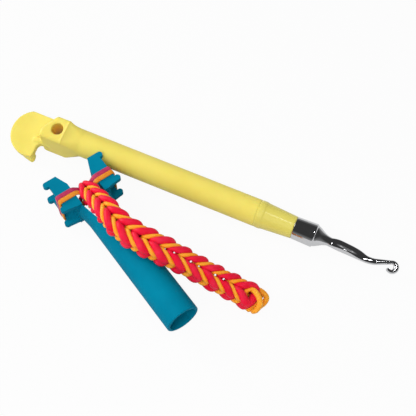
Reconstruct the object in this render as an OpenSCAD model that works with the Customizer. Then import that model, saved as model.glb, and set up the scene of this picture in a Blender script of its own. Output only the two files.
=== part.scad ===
// Rubber band loom set: a hand-held two-prong mini loom with a fishtail bracelet
// on its prongs, lying beside the hook tool that it also serves as a cap for.
// Millimetres. The origin is the centre of the mini loom's tube mouth, +Y runs
// along the loom to its prongs and +Z is up.

/* [Mini loom] */
// Length from the tube's mouth to the tips of the prongs
loom_len = 68; // [62:0.5:74]
// Outside diameter of the tube
tube_d = 12; // [11.6:0.1:13]
// Rounding of the tube's mouth
rim_r = 0.4; // [0.2:0.05:0.5]
// Depth of the socket in the tube
socket_depth = 26; // [22:0.5:30]
// Diameter of the passage from the socket to the slot
passage_d = 8.4; // [7:0.1:9]
// Length of the slot between the arms, from the tips
slot_len = 27; // [26:0.5:29]
// Radius of the slot's closed end; the arms draw in to it
crotch_r = 2.8; // [2.4:0.1:3.6]
// How far the arms flare past the tube at the prongs
arm_flare = 0.6; // [0.2:0.1:1]
// Length of each prong
prong_len = 14.8; // [13.6:0.1:16]
// Width of each prong from its inner face to the edge of its walls
prong_w = 5.8; // [5:0.1:6.4]
// Thickness of each prong, front to back
prong_t = 11.2; // [10.6:0.1:11.8]
// Thickness of a prong's front and back walls
prong_wall = 1.7; // [1.3:0.1:2.2]
// Thickness of the web that joins a prong's walls
web_t = 2.1; // [1.8:0.1:2.6]
// How far a lip stands out of a prong
lip_out = 1.6; // [1.2:0.1:1.8]
// Width of a lip along the prong
lip_w = 2.2; // [1.8:0.1:2.6]
// Rise of a prong's lower edge towards its lip
lower_rise = 0.8; // [0.2:0.1:1.2]
// How far the inner edge of a prong's tip is cut back
tip_cut = 1.9; // [1:0.1:2]
// Length of the cut at a prong's tip
tip_cut_len = 5; // [4:0.2:6]

/* [Handle] */
// Diameter of the barrel
barrel_d = 9.8; // [9:0.1:10.6]
// Length of the barrel from the boss to the collar
barrel_len = 75.2; // [60:0.2:90]
// Thickness of the boss at the barrel's end
boss_t = 12; // [11:0.1:13]
// Width of the boss at its top
boss_w = 9.5; // [8.6:0.1:10]
// Length of the boss along the barrel
boss_len = 9.3; // [8:0.1:10]
// How far the boss's front leans out towards its foot
boss_draft = 1.6; // [0.8:0.1:2]
// Rounding of the boss's edges
boss_edge = 1.2; // [0.8:0.1:1.5]
// Length of the neck that blends the boss into the barrel
neck_len = 6.5; // [5:0.5:8]
// Diameter of the hanging hole through the boss
hole_d = 4.4; // [3.6:0.1:5]
// Distance of the hole from the boss's barrel end
hole_back = 3.2; // [2.8:0.1:3.6]
// Radius of the round plate
plate_r = 8.95; // [8.4:0.05:9.6]
// Thickness of the round plate
plate_t = 2.5; // [2:0.1:3]
// Height of the plate's top above the barrel's axis
plate_top = -0.5; // [-1:0.1:0.5]
// How far the claw reaches in front of the barrel's axis
claw_reach = 12.9; // [12:0.1:14]
// Radius of the claw's notch
notch_r = 1.8; // [1.4:0.1:2]
// Distance of the notch's root in front of the barrel's axis
notch_top = 5.9; // [5.6:0.1:6.6]
// Depth of the claw's turned-down lip
claw_drop = 1.6; // [1:0.1:2]
// Radius of the small rib beside the notch
rib_r = 1.2; // [0.8:0.1:1.4]

/* [Nose and metal hook] */
// Diameter of the collar that grips in the socket
collar_d = 10; // [9.4:0.1:10.4]
// Width of the collar
collar_w = 2.4; // [2:0.1:3]
// Length of the nose cone
cone_len = 11.2; // [9:0.2:14]
// Diameter of the nose cone behind its tip
cone_d = 9.5; // [9:0.1:9.8]
// Diameter of the nose cone at its tip
cone_tip_d = 8; // [7.4:0.1:8.4]
// Diameter of the spigot inside the handle
spigot_d = 7; // [6.4:0.1:7.4]
// Length of the spigot
spigot_len = 14; // [10:0.5:18]
// Diameter of the hook's tang
tang_d = 4; // [3.4:0.1:4.4]
// Length of the hook's tang
tang_len = 17; // [14:0.5:20]
// Length of the ferrule
ferrule_len = 7.8; // [7:0.2:10]
// Diameter of the ferrule at its shoulder
ferrule_d = 8.4; // [8:0.1:9]
// Length of the sweep from the ferrule's shoulder to the blade
sweep_len = 5.4; // [4.6:0.2:6]
// Width of the blade
blade_w = 3.8; // [3.4:0.1:4.2]
// Thickness of the blade
blade_t = 2.8; // [2.4:0.1:3.2]
// Depth of the hollow for the thumb on the blade
blade_hollow = 0.9; // [0.6:0.05:1]
// Length of the blade from the sweep to the hook's neck
blade_len = 16.6; // [15:0.2:18]
// Width of the hook where its bend is thickest
wire_d = 1.9; // [1.6:0.1:2.1]
// Radius of the hook's outer edge
bend_r = 2.35; // [2.2:0.05:2.6]

/* [Rubber bands] */
// Thickness of a band's strand
band_d = 1.05; // [0.9:0.05:1.15]
// Bands in the bracelet below the prongs
link_count = 24; // [20:1:26]

/* [Layout and clearances] */
// Angle of the hook tool to the loom's lateral axis
tool_turn = -60; // [-64:1:-56]
// Roll of the hook tool onto its claw
tool_roll = 14; // [12:1:18]
// Distance of the barrel's middle from the loom's nearest lip, along the tool
tool_slide = 33; // [28:0.5:38]
// How far the loom's lips reach over and under the barrel
lip_tuck = 1.2; // [0.6:0.05:1.25]
// Clearance of a soft band from what carries it
band_gap = 0.3; // [0.25:0.05:0.4]
// Side clearance of the bracelet in the slot
slot_gap = 0.8; // [0.6:0.05:1]
// Clearance of the socket on the collar
socket_gap = 0.05; // [0.02:0.01:0.1]
// Clearance of a spigot or tang in its bore
seat_gap = 0.02; // [0.01:0.01:0.05]
// Gap of the bracelet's lowest strand above the surface
rest_gap = 0.4; // [0.2:0.1:1]

/* [Hidden] */
$fn = 48;
cut = 1;
far = 40;

// Fishtail link, in pitches of the weave: each band folds double, and its two ends
// come up over the next two bands and cross from front to back above them.
link_pitch = 3 * band_d;
link_wide = [0.62, 0.60, 0.25];
link_thick = [0.65, -0.435];
link_rise = 2.525;
link_rings = 26;
link_sides = 6;
tail_draw = 0.35 * link_pitch;
tail_loop = 0.5 * link_pitch;
tail_turn = 0.35 * link_pitch;
weave_w = 2 * 1.052 * link_pitch + band_d;
weave_t = 2 * 0.79 * link_pitch + band_d;

// Mini loom
tube_r = tube_d / 2;
table_z = -prong_t / 2 - band_gap - band_d;
gap_half = weave_w / 2 + slot_gap;
socket_d = collar_d + 2 * socket_gap;
prong_y = loom_len - prong_len;
crotch_y = loom_len - slot_len;
arm_r = tube_r + arm_flare;
flare_y = crotch_y + (prong_y - crotch_y) / 2;
prong_out = gap_half + prong_w;
lip_root = lip_w / 2 + lip_out / 2;

// Hook tool, along its own axis from the middle of the barrel
collar_x = barrel_len / 2 - 11.7;
boss_x = collar_x - barrel_len;
boss_front = -boss_w / 2;
plate_x = boss_x - boss_len - 3.8;
plate_y = boss_front + 1.55;
claw_x = plate_x + 3.4;
cone_x = collar_x + collar_w;
ferrule_x = cone_x + cone_len;
shoulder_x = ferrule_x + ferrule_len;
blade_x = shoulder_x + sweep_len;
neck_x = blade_x + blade_len;
claw_low = plate_t + claw_drop - plate_top;
claw_depth = claw_reach * sin(tool_roll) + claw_low * cos(tool_roll);
tool_pitch = asin((claw_depth - collar_d / 2) / (collar_x - claw_x));
tool_z = table_z + collar_d / 2 + collar_x * sin(tool_pitch) + 0.1;
lip_tip = [prong_out + lip_out, loom_len - lip_w / 2];
tool_along = [cos(tool_turn), sin(tool_turn)];
tool_across = [-sin(tool_turn), cos(tool_turn)];
tool_spot = lip_tip + tool_slide * tool_along + (barrel_d / 2 - lip_tuck) * tool_across;
tool_pos = [tool_spot[0], tool_spot[1], tool_z];

// Bracelet route from the prongs to the free end
over_z = tube_r + weave_t / 2 + band_gap;
low_z = table_z + weave_t / 2 + rest_gap;
lay = loom_len / 68;
pinch_z = 0.232 * prong_t;
pinch_y = prong_y + 0.392 * prong_len;
route = [
    [0, pinch_y + 13 * lay, pinch_z - 4.2 * lay],
    [0, pinch_y + 6.5 * lay, pinch_z - 2.1 * lay],
    [0, pinch_y, pinch_z],
    [0, pinch_y - 6.5 * lay, pinch_z + 2.9 * lay],
    [0, pinch_y - 13 * lay, over_z - 0.9 * lay],
    [-0.2 * lay, pinch_y - 19 * lay, over_z + 0.5 * lay],
    [0.6 * lay, pinch_y - 25 * lay, over_z + 0.7 * lay],
    [3 * lay, pinch_y - 31.5 * lay, over_z + 0.5 * lay],
    [6.2 * lay, pinch_y - 37.5 * lay, over_z - 0.4 * lay],
    [9.6 * lay, pinch_y - 43 * lay, over_z - 2.4 * lay],
    [13.2 * lay, pinch_y - 48.5 * lay, low_z + 7.6 * lay],
    [16.8 * lay, pinch_y - 54 * lay, low_z + 4.8 * lay],
    [20.4 * lay, pinch_y - 59.5 * lay, low_z + 2.3 * lay],
    [23.6 * lay, pinch_y - 65.5 * lay, low_z + 0.6 * lay],
    [25.6 * lay, pinch_y - 72 * lay, low_z],
    [27.2 * lay, pinch_y - 79 * lay, low_z],
    [28.6 * lay, pinch_y - 86 * lay, low_z],
    [30 * lay, pinch_y - 93 * lay, low_z],
    [31.4 * lay, pinch_y - 100 * lay, low_z]
];
route_steps = 10;
peg_spacing = 1.75;
red_s = norm(route[2] - route[1]);
orange_s = red_s + link_pitch;
first_s = orange_s + link_pitch;
red_peg_y = pinch_y + 0.7;
orange_peg_y = red_peg_y - peg_spacing;
pinch_half = 0.62 * band_d;
turn_r = 0.85;

// A band's name in the bracelet, counted from the prongs
function link_name(i) = str("band_", i < 10 ? "0" : "", i);
function unit(v) = v / norm(v);

// Smooth route through its points, as a table of lengths and places
function spline(a, b, c, d, t) =
    0.5 * (2 * b + (c - a) * t + (2 * a - 5 * b + 4 * c - d) * t * t
    + (3 * b - a - 3 * c + d) * t * t * t);
route_pts = [
    for (i = [1 : len(route) - 3], k = [0 : route_steps - 1])
        spline(route[i - 1], route[i], route[i + 1], route[i + 2], k / route_steps)
];
function lengths(pts, i = 0, sum = 0) =
    i == len(pts) - 1 ? [sum] : concat([sum], lengths(pts, i + 1, sum + norm(pts[i + 1] - pts[i])));
route_len = lengths(route_pts);
route_tables = [for (axis = [0 : 2]) [for (i = [0 : len(route_pts) - 1]) [route_len[i], route_pts[i][axis]]]];
function route_at(s) = [for (axis = [0 : 2]) lookup(s, route_tables[axis])];
function route_along(s) = unit(route_at(s + 1) - route_at(s - 1));
function route_side(s) = unit(cross(route_along(s), [0, 0, 1]));
function route_up(s) = cross(route_side(s), route_along(s));

// Place of a fishtail link's strand at angle t: sideways, along the weave and out of it
function link_side(t) =
    -link_pitch * (link_wide[0] * sin(t) + link_wide[1] * sin(3 * t) + link_wide[2] * sin(5 * t));
function link_out(t) = link_pitch * (link_thick[0] * cos(t) + link_thick[1] * cos(3 * t));
function link_up(t) = link_pitch * link_rise * (1 - cos(2 * t)) / 2;
function link_spread(s, t, aside = 0) = (link_side(t) + aside) * route_side(s) + link_out(t) * route_up(s);

// The last band's front fold is drawn up to its neighbour, and its back fold stands out as a small loop
function fold_near(t) = pow(max(0, cos(t)), 8);
function tail_along(i, t) =
    i < link_count ? 0 : tail_loop * fold_near(t + 180) - tail_draw * fold_near(t);
function tail_aside(i, t) = i < link_count ? 0 : -tail_turn * fold_near(t + 180);

// Ring of points round a place on a strand, square to the strand's run
function ring(place, run, beside, r, sides) =
    let (
        along = unit(run),
        out = unit(beside - (beside * along) * along),
        over = cross(along, out)
    )
    [for (k = [0 : sides - 1]) place + r * (cos(k * 360 / sides) * out + sin(k * 360 / sides) * over)];

// Two triangles for each step between ring j and ring j + 1 of a set of n rings
function skin(j, n, sides) = [
    for (k = [0 : sides - 1])
        let (
            a = j * sides + k,
            b = j * sides + (k + 1) % sides,
            c = ((j + 1) % n) * sides + (k + 1) % sides,
            d = ((j + 1) % n) * sides + k
        )
        each [[a, c, b], [a, d, c]]
];

// Closed tube round a loop of points, with a direction beside each point to start its rings
module loop_tube(points, beside, sides) {
    n = len(points);
    rings = [
        for (j = [0 : n - 1])
            each ring(points[j], points[(j + 1) % n] - points[(j + n - 1) % n], beside[j], band_d / 2, sides)
    ];
    polyhedron(rings, [for (j = [0 : n - 1]) each skin(j, n, sides)]);
}

// Flattened ring across a path in the X-Y plane: row holds x, y, half width, half thickness and hollow
function flat_ring(row, run, sides) =
    let (along = unit([run[0], run[1], 0]))
    [
        for (k = [0 : sides - 1])
            let (a = k * 360 / sides)
            [row[0], row[1], row[3] * sin(a) - row[4] * pow(max(0, sin(a)), 4)]
            + row[2] * cos(a) * [-along[1], along[0], 0]
    ];

// Closed skin over a row of flattened rings
module flat_loft(rows, sides) {
    n = len(rows);
    rings = [
        for (j = [0 : n - 1])
            each flat_ring(rows[j], rows[min(j + 1, n - 1)] - rows[max(j - 1, 0)], sides)
    ];
    start = [for (k = [0 : sides - 1]) k];
    end = [for (k = [sides - 1 : -1 : 0]) (n - 1) * sides + k];
    polyhedron(rings, concat([start, end], [for (j = [0 : n - 2]) each skin(j, n, sides)]));
}

// One folded band of the bracelet
module chain_band(i) {
    s0 = first_s + (i - 1) * link_pitch;
    angles = [for (j = [0 : link_rings - 1]) j * 360 / link_rings];
    places = [for (t = angles) s0 - link_up(t) + tail_along(i, t)];
    points = [
        for (j = [0 : link_rings - 1])
            route_at(places[j]) + link_spread(places[j], angles[j], tail_aside(i, angles[j]))
    ];
    beside = [for (j = [0 : link_rings - 1]) link_spread(places[j], angles[j])];
    color(i % 2 == 0 ? "#f0962a" : "#d41440") loop_tube(points, beside, link_sides);
}

// Arc in the X-Z plane
function arc(x, z, r, from, to, steps = 2) =
    [for (k = [0 : steps]) let (a = from + (to - from) * k / steps) [x + r * cos(a), z + r * sin(a)]];

// Half of a band round one prong: from the pinch over the front wall, round the outside and back
function peg_half(mid_z) =
    let (
        off = band_d / 2 + band_gap,
        face = gap_half - off,
        top = prong_t / 2,
        front = mid_z + pinch_half,
        back = mid_z - pinch_half
    )
    concat(
        [[0.4, front]],
        arc(face - turn_r, front + turn_r, turn_r, -90, -20),
        arc(gap_half, top, off, 180, 90),
        [[(gap_half + prong_out) / 2, top + off]],
        arc(prong_out, top, off, 90, 0),
        [[prong_out + off, top / 2], [prong_out + off, 0], [prong_out + off, -top / 2]],
        arc(prong_out, -top, off, 0, -90),
        [[(gap_half + prong_out) / 2, -top - off]],
        arc(gap_half, -top, off, -90, -180),
        [[face, (back - turn_r - top) / 2]],
        arc(face - turn_r, back - turn_r, turn_r, 0, 90),
        [[0.4, back]]
    );

// A band stretched round both prongs, drawn in at the middle by the bracelet
module peg_band(s, peg_y, tint) {
    mid = route_at(s);
    half = peg_half(mid[2]);
    flat = concat(half, [for (i = [len(half) - 1 : -1 : 0]) [-half[i][0], half[i][1]]]);
    points = [
        for (p = flat)
            let (
                on_prong = abs(p[0]) > gap_half ? 1 : 0,
                climb = p[1] > mid[2] ? prong_t / 2 - mid[2] : prong_t / 2 + mid[2],
                share = max(on_prong, min(1, (abs(p[1] - mid[2]) - pinch_half) / (climb - pinch_half)))
            )
            [p[0], mid[1] + (peg_y - mid[1]) * share, p[1]]
    ];
    color(tint) loop_tube(points, [for (p = points) [0, 1, 0]], link_sides);
}
module peg_band_red() {
    peg_band(red_s, red_peg_y, "#d41440");
}
module peg_band_orange() {
    peg_band(orange_s, orange_peg_y, "#f0962a");
}

// Outline of a prong's front or back wall, with its two lips
module prong_wall_outline() {
    polygon([
        [gap_half, prong_y],
        [prong_out, prong_y + lower_rise],
        [prong_out, loom_len],
        [gap_half, loom_len]
    ]);
    for (y = [prong_y + lower_rise, loom_len - lip_w]) {
        translate([prong_out - cut, y]) square([cut + lip_out - lip_w / 2, lip_w]);
        translate([prong_out + lip_out - lip_w / 2, y + lip_w / 2]) circle(d = lip_w);
    }
}

// A prong is a channel, open on its outer side and at both ends
module prong() {
    translate([gap_half, prong_y, -prong_t / 2]) cube([web_t, prong_len, prong_t]);
    for (z = [-prong_t / 2, prong_t / 2 - prong_wall])
        translate([0, 0, z]) linear_extrude(prong_wall) prong_wall_outline();
}

// Slot between the arms: full width at the prongs, drawn in to a round closed end.
module slot_outline() {
    polygon([
        [-gap_half, loom_len + far],
        [-gap_half, prong_y],
        [-crotch_r, crotch_y + crotch_r],
        [crotch_r, crotch_y + crotch_r],
        [gap_half, prong_y],
        [gap_half, loom_len + far]
    ]);
    translate([0, crotch_y + crotch_r]) circle(r = crotch_r);
}

// Solid of the tube and of the two arms before the slot is cut
module tube_blank() {
    rotate([-90, 0, 0]) rotate_extrude() {
        translate([tube_r - rim_r, rim_r]) circle(rim_r);
        square([tube_r - rim_r, flare_y]);
        translate([0, rim_r]) square([tube_r, flare_y - rim_r]);
        polygon([
            [0, flare_y],
            [tube_r, flare_y],
            [arm_r, prong_y],
            [arm_r, prong_y + cut],
            [0, prong_y + cut]
        ]);
    }
}
module mini_loom() {
    color("#1789ab") difference() {
        union() {
            tube_blank();
            for (side = [0, 1]) mirror([side, 0, 0]) prong();
        }
        translate([0, 0, -far]) linear_extrude(2 * far) slot_outline();
        rotate([-90, 0, 0]) {
            translate([0, 0, -cut]) cylinder(d = socket_d, h = socket_depth + cut);
            cylinder(d = passage_d, h = loom_len);
        }
        for (side = [0, 1]) mirror([side, 0, 0]) translate([0, 0, -far]) linear_extrude(2 * far)
            polygon([
                [0, loom_len + cut],
                [0, loom_len - tip_cut_len],
                [gap_half, loom_len - tip_cut_len],
                [gap_half + tip_cut, loom_len],
                [gap_half + tip_cut, loom_len + cut]
            ]);
    }
}

// The hook tool lies on its claw and its collar
module tool_place() {
    translate(tool_pos) rotate([tool_roll, tool_pitch, tool_turn]) children();
}

// Round bar along the tool's axis
module bar(from, to, d) {
    translate([from, 0, 0]) rotate([0, 90, 0]) cylinder(d = d, h = to - from);
}

// Rounded block with its front face leaning out
module boss_block() {
    e = boss_edge;
    back = boss_w / 2 - e;
    front = boss_front + e;
    corners = [
        [boss_x - boss_len + e + 0.3, front],
        [boss_x - boss_len + e, front + 1.5],
        [boss_x - boss_len / 2, back],
        [boss_x, back],
        [boss_x, front]
    ];
    hull() for (c = corners) {
        lean = c[1] < 0 ? boss_draft : 0;
        translate([c[0], c[1], boss_t / 2 - e]) sphere(e, $fn = 20);
        translate([c[0], c[1] - lean, e - boss_t / 2]) sphere(e, $fn = 20);
    }
}
module boss_neck() {
    e = boss_edge;
    hull() {
        for (y = [boss_front + e, boss_w / 2 - e]) {
            lean = y < 0 ? boss_draft : 0;
            translate([boss_x, y, boss_t / 2 - e]) sphere(e, $fn = 20);
            translate([boss_x, y - lean, e - boss_t / 2]) sphere(e, $fn = 20);
        }
        bar(boss_x + neck_len - 0.4, boss_x + neck_len, barrel_d * 0.985, $fn = 32);
    }
}
module plate_outline() {
    difference() {
        union() {
            intersection() {
                translate([plate_x, plate_y]) circle(plate_r, $fn = 96);
                translate([plate_x - far, boss_w / 2 - far]) square([far + boss_len, far]);
            }
            polygon([
                [plate_x - 5, plate_y - 7.4],
                [claw_x - 0.7, -claw_reach + 1.1],
                [claw_x - 0.3, -claw_reach + 1.6],
                [claw_x - 0.3, plate_y - 4]
            ]);
        }
        translate([claw_x - 0.3, -far - notch_top - 0.6 * notch_r]) square([far, far]);
        translate([claw_x + notch_r - 0.3, -far - notch_top]) square([far, far]);
        translate([claw_x + notch_r - 0.3, -notch_top - notch_r]) circle(notch_r);
    }
}
module claw_lip() {
    low = -claw_low;
    hull() {
        translate([0, 0, plate_top - 0.6]) linear_extrude(0.2) polygon([
            [plate_x - 4.2, plate_y - 7.6],
            [claw_x - 0.9, -claw_reach + 1.3],
            [claw_x - 0.4, -claw_reach + 1.8],
            [claw_x - 0.4, plate_y - 6.2]
        ]);
        translate([0, 0, low]) linear_extrude(0.5) polygon([
            [claw_x - 4.2, -claw_reach + 0.8],
            [claw_x - 0.6, -claw_reach],
            [claw_x + 0.1, -claw_reach + 0.6],
            [claw_x + 0.2, -claw_reach + 1.6],
            [claw_x - 0.2, -claw_reach + 3.2]
        ]);
    }
}
// Short rib that runs out of the boss's front towards the notch
module notch_rib() {
    hull() for (x = [claw_x - 1.5, claw_x + 2])
        translate([x, boss_front - 0.1, plate_top - 0.1]) sphere(rib_r, $fn = 24);
}
module handle() {
    color("#f2df72") tool_place() difference() {
        union() {
            bar(boss_x, collar_x, barrel_d);
            boss_block();
            boss_neck();
            translate([0, 0, plate_top - plate_t]) linear_extrude(plate_t) plate_outline();
            claw_lip();
            notch_rib();
        }
        translate([boss_x - hole_back, 0, -far]) cylinder(d = hole_d, h = 2 * far);
        bar(collar_x - spigot_len, collar_x + cut, spigot_d + 2 * seat_gap);
    }
}

// Collar, cone and the spigot that is pressed into the barrel
module nose_cone() {
    color("#f2df72") tool_place() difference() {
        union() {
            bar(collar_x - spigot_len, collar_x, spigot_d);
            translate([collar_x, 0, 0]) rotate([0, 90, 0]) rotate_extrude() {
                translate([0, collar_w / 6]) square([collar_d / 2, collar_w * 2 / 3]);
                square([collar_d / 2 - collar_w / 6, collar_w]);
                for (z = [collar_w / 6, collar_w * 5 / 6])
                    translate([collar_d / 2 - collar_w / 6, z]) circle(collar_w / 6);
            }
            translate([cone_x, 0, 0]) rotate([0, 90, 0])
                cylinder(d1 = cone_d, d2 = cone_tip_d, h = cone_len);
        }
        bar(ferrule_x - tang_len, ferrule_x + cut, tang_d + 2 * seat_gap);
    }
}

// Ferrule turned with a rounded shoulder
module ferrule() {
    shoulder = ferrule_d / 2;
    translate([ferrule_x, 0, 0]) rotate([0, 90, 0]) rotate_extrude() polygon([
        [0, 0],
        [cone_tip_d / 2, 0],
        [shoulder, ferrule_len - 0.5],
        [shoulder - 0.12, ferrule_len - 0.2],
        [shoulder - 0.4, ferrule_len],
        [0, ferrule_len]
    ]);
}

// Shank in one loft: a sweep in from the shoulder, a blade with a hollow, and a hook with a rounded tip
module shank() {
    root = ferrule_d / 2 - 0.45;
    waist = 0.42 * blade_w;
    waist_t = 0.52 * blade_t;
    sweep_steps = 6;
    sweep = [
        for (k = [0 : sweep_steps - 1])
            let (
                u = pow(k / sweep_steps, 0.8),
                s = 1 - u * u * (3 - 2 * u),
                x = shoulder_x + sweep_len * k / sweep_steps
            )
            [x, 0, waist + (root - waist) * s, waist_t + (root - waist_t) * s, 0]
    ];
    // Share of the blade's length, offset, and shares of its width, thickness and hollow
    form = [
        [-0.16, 0, 0.96, 1.12, 0],
        [0, -0.1, 0.84, 1.04, 0.1],
        [0.17, 0, 0.97, 1, 0.7],
        [0.33, -0.1, 1, 0.96, 1],
        [0.48, -0.26, 0.96, 0.9, 0.9],
        [0.64, -0.58, 0.86, 0.82, 0.5],
        [0.79, -0.98, 0.69, 0.75, 0.15],
        [0.9, -0.96, 0.63, 0.71, 0],
        [1, -0.67, 0.58, 0.68, 0],
        [1.1, -0.2, 0.5, 0.62, 0]
    ];
    stations = [
        for (f = form)
            [blade_x + f[0] * blade_len, f[1], f[2] * blade_w / 2, f[3] * blade_t / 2, f[4] * blade_hollow]
    ];
    blade = [
        for (i = [1 : len(stations) - 3], h = [0, 0.5])
            spline(stations[i - 1], stations[i], stations[i + 1], stations[i + 2], h)
    ];
    neck = stations[len(stations) - 2];
    thick = wire_d / 2;
    thin = 0.4 * thick;
    eye = [neck_x + 5.95, neck[1] + 0.42];
    turn_from = 118;
    turn_to = -128;
    turn_steps = 15;
    bend = [
        for (k = [0 : turn_steps])
            let (
                a = turn_from + (turn_to - turn_from) * k / turn_steps,
                taper = min(1, 1.6 * (1 - k / turn_steps) + 0.6),
                half = taper * (thin + (thick - thin) * max(0, cos(a - 5))),
                r = bend_r - half
            )
            [eye[0] + r * cos(a), eye[1] + r * sin(a), half, min(thick, 2 * half), 0]
    ];
    lift = [for (k = [0 : 3]) neck + (bend[0] - neck) * k / 4];
    last = bend[turn_steps];
    back = [sin(turn_to), -cos(turn_to)];
    tip = [
        for (k = [1 : 3])
            let (s = last[2] * sin(k * 25), c = cos(k * 25))
            [last[0] + s * back[0], last[1] + s * back[1], last[2] * c, last[3] * c, 0]
    ];
    flat_loft(concat([sweep[0] - [0.6, 0, 0, 0, 0]], sweep, blade, lift, bend, tip), 16);
}
module metal_hook() {
    color("#b9bcc2") tool_place() union() {
        bar(ferrule_x - tang_len, ferrule_x, tang_d);
        ferrule();
        shank();
    }
}

handle();
nose_cone();
metal_hook();
mini_loom();
peg_band_red();
peg_band_orange();
for (i = [1 : link_count]) chain_band(i);
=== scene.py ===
# %% [markdown]
# # A rubber band loom set
#
# The set is three things on a table: a yellow hook tool, a small teal loom with two
# prongs, and a fishtail bracelet that hangs from the loom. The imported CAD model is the
# frame: it has every rigid size and every joint. This script loads it, gives the rigid
# mouldings soft edges, and weaves fuller rubber bands where the CAD has thin ones.

import math

import bmesh
import bpy
import numpy as np
from mathutils import Matrix


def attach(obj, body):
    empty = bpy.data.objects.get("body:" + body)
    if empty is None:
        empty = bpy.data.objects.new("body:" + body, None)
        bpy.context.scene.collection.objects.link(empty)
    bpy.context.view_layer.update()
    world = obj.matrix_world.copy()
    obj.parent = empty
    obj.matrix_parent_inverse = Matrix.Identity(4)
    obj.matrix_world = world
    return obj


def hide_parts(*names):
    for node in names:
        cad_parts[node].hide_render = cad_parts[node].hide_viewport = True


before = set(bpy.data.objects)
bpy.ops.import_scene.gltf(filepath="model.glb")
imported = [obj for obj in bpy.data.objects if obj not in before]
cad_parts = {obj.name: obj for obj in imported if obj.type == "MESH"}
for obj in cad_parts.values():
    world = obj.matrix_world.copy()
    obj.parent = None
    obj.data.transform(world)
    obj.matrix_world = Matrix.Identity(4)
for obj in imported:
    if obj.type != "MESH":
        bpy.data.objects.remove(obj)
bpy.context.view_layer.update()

# %% [markdown]
# ## Sizes
#
# Blender works in metres and a craft tool is thought of in millimetres, so the shapes
# are worked out in millimetres and scaled once, when they become a mesh. The values are
# the same as the CAD's, so the two models share one set of sizes.

# %% Sizes in millimetres
MM = 0.001
TUBE_R = 6.0
LOOM_LEN = 68.0
PRONG_LEN = 14.8
PRONG_W = 5.8
PRONG_T = 11.2
BAND_D = 1.05
BAND_GAP = 0.3
SLOT_GAP = 0.8
SLOT_LEN = 27.0
CROTCH_R = 2.8
LINKS = 24
PITCH = 3 * BAND_D
# Furthest that a strand's middle goes beside the strip and out of it, in pitches
LINK_BESIDE = 1.052
LINK_OUT = 0.79
WEAVE_W = 2 * LINK_BESIDE * PITCH + BAND_D
WEAVE_T = 2 * LINK_OUT * PITCH + BAND_D
GAP_HALF = WEAVE_W / 2 + SLOT_GAP
PRONG_Y = LOOM_LEN - PRONG_LEN
TABLE_Z = -PRONG_T / 2 - BAND_GAP - BAND_D
print(f"pitch {PITCH:.2f} mm, weave {WEAVE_W:.2f} by {WEAVE_T:.2f} mm, table at {TABLE_Z:.2f} mm")

# %% [markdown]
# ## From a grid of points to a mesh
#
# Every new surface here is a grid: rows of points that follow one parameter along the
# piece and another one round it. One helper turns such a grid into a mesh, and joins its
# last row to the first where the surface closes on itself. Building the face list with
# numpy index arithmetic avoids a loop over vertices.


# %% Grid helper
def unit(v):
    """Each vector divided by its own length."""
    return v / np.linalg.norm(v, axis=-1, keepdims=True)


def grid_faces(rows, columns, loop):
    """Quads between neighbours (i, j), (i, j+1), (i+1, j+1), (i+1, j).
    The columns always close, and the rows do where loop is true."""
    i = np.arange(rows if loop else rows - 1)[:, None]
    j = np.arange(columns)[None, :]
    k = (j + 1) % columns
    n = (i + 1) % rows
    quads = np.stack([i * columns + j, i * columns + k, n * columns + k, n * columns + j], axis=-1)
    return quads.reshape(-1, 4)


def new_object(name, data):
    """An object for the mesh, lamp or camera in data, put into the scene."""
    obj = bpy.data.objects.new(name, data)
    bpy.context.collection.objects.link(obj)
    return obj


def grid_object(name, points, loop):
    """A smooth mesh object from points[row, column, xyz] in millimetres, with flat ends if it has no loop."""
    rows, columns, _ = points.shape
    faces = grid_faces(rows, columns, loop).tolist()
    if not loop:
        faces.append(list(range(columns))[::-1])
        faces.append(list(range((rows - 1) * columns, rows * columns)))
    mesh = bpy.data.meshes.new(name)
    mesh.from_pydata((points.reshape(-1, 3) * MM).tolist(), [], faces)
    mesh.polygons.foreach_set("use_smooth", np.ones(len(mesh.polygons), dtype=bool))
    bm = bmesh.new()
    bm.from_mesh(mesh)
    bmesh.ops.recalc_face_normals(bm, faces=bm.faces)
    bm.to_mesh(mesh)
    bm.free()
    return new_object(name, mesh)


print("quads on a closed grid of 4 by 5:", len(grid_faces(4, 5, loop=True)))

# %% [markdown]
# ## The route of the bracelet
#
# The woven strip rises between the two arms, lies along the top of the tube, slides off
# to one side and comes down to the table. The route is a Catmull-Rom curve through a few
# chosen points, because that passes through each of them with no sharp turn. A table of
# its length lets any later step ask for the place at so many millimetres along it.

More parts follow.
